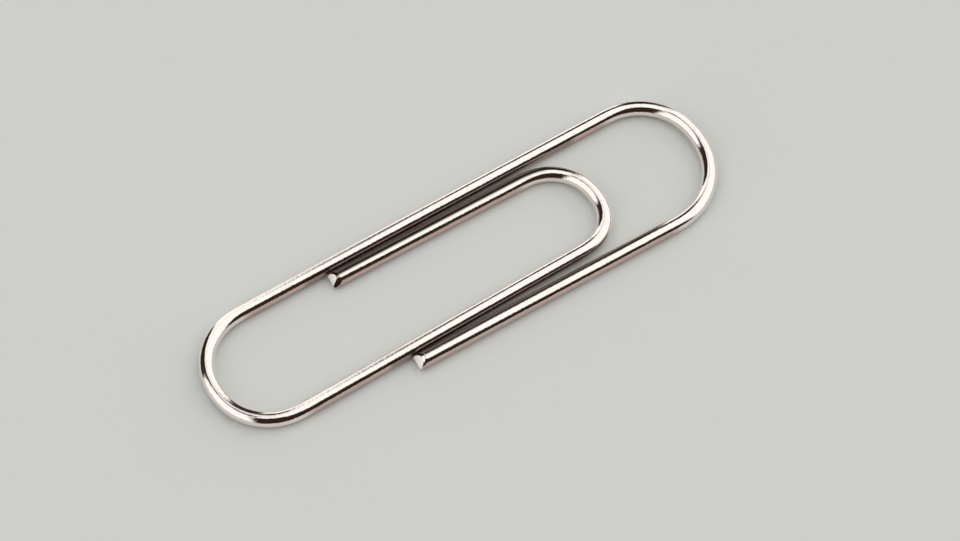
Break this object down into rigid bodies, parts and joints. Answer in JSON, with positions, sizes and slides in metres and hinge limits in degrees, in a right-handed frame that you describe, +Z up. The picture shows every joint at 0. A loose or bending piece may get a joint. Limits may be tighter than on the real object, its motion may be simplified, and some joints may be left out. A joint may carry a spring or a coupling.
{
  "type": "paper clip",
  "caption": "Bright nickel-plated paper clip of round steel wire bent into nested loops; its inner tongue springs away from the outer loop to grip sheets of paper.",
  "frame": {"origin": "under the middle of the clip's length and width, on the surface that the clip lies on", "axes": "+X along the clip from the heel bend towards the outer bend, +Y across towards the long leg, +Z up from the surface"},
  "size_m": [0.033, 0.0092, 0.0009],
  "materials": {
    "nickel_wire": "bright warm nickel plate over drawn steel wire, with fine streaks along the wire"
  },
  "bodies": {
    "spine": {"outer_bend_upper": "nickel_wire", "long_leg": "nickel_wire", "heel_bend_upper": "nickel_wire"},
    "outer_arm": {"outer_leg": "nickel_wire", "outer_bend_lower": "nickel_wire"},
    "tongue": {"heel_bend_lower": "nickel_wire", "middle_leg": "nickel_wire", "inner_bend_lower": "nickel_wire"},
    "inner_arm": {"inner_bend_upper": "nickel_wire", "inner_leg": "nickel_wire"}
  },
  "joints": [
    {"name": "tongue_lift", "type": "hinge", "parent": "spine", "child": "tongue", "pos_m": [-0.01605, 0.00066, 0.00045], "axis": [0, -1, 0], "range_deg": [-10, 10], "stiffness_Nm_per_rad": 0.36},
    {"name": "outer_arm_lift", "type": "hinge", "parent": "spine", "child": "outer_arm", "pos_m": [0.01605, 0.00026, 0.00045], "axis": [0, 1, 0], "range_deg": [-8, 8], "stiffness_Nm_per_rad": 0.32},
    {"name": "inner_arm_lift", "type": "hinge", "parent": "tongue", "child": "inner_arm", "pos_m": [0.00875, -0.00017, 0.00045], "axis": [0, 1, 0], "range_deg": [-6, 6], "stiffness_Nm_per_rad": 0.45}
  ]
}
